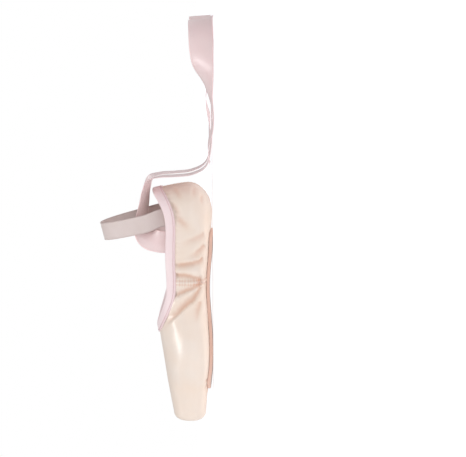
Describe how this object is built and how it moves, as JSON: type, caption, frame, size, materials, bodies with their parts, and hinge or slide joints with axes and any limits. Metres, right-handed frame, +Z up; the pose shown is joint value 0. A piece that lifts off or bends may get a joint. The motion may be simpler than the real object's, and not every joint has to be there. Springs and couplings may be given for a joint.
{
  "type": "pointe shoe",
  "caption": "Satin pointe shoe with a hard flat-ended toe box, short leather outsole, bound collar, elastic ankle loop and two loose ribbons.",
  "frame": {"origin": "on the floor under the ball of the foot, on the centreline of the outsole's flat spot", "axes": "+X towards the toe, +Y to the shoe's left, +Z up"},
  "size_m": [0.3713, 0.2807, 0.1031],
  "materials": {
    "satin": "ivory peach satin with a soft sheen",
    "binding": "pale pink bias binding",
    "outsole_leather": "matt suede leather, grooved under the ball",
    "insole_board": "matt insole board",
    "elastic": "woven beige elastic",
    "ribbon": "sheer pale pink ribbon"
  },
  "bodies": {
    "root": {"upper": "satin", "collar_binding": "binding", "outsole": "outsole_leather", "insole": "insole_board", "elastic_strap": "elastic", "ribbon_left": "ribbon", "ribbon_right": "ribbon"}
  },
  "joints": []
}
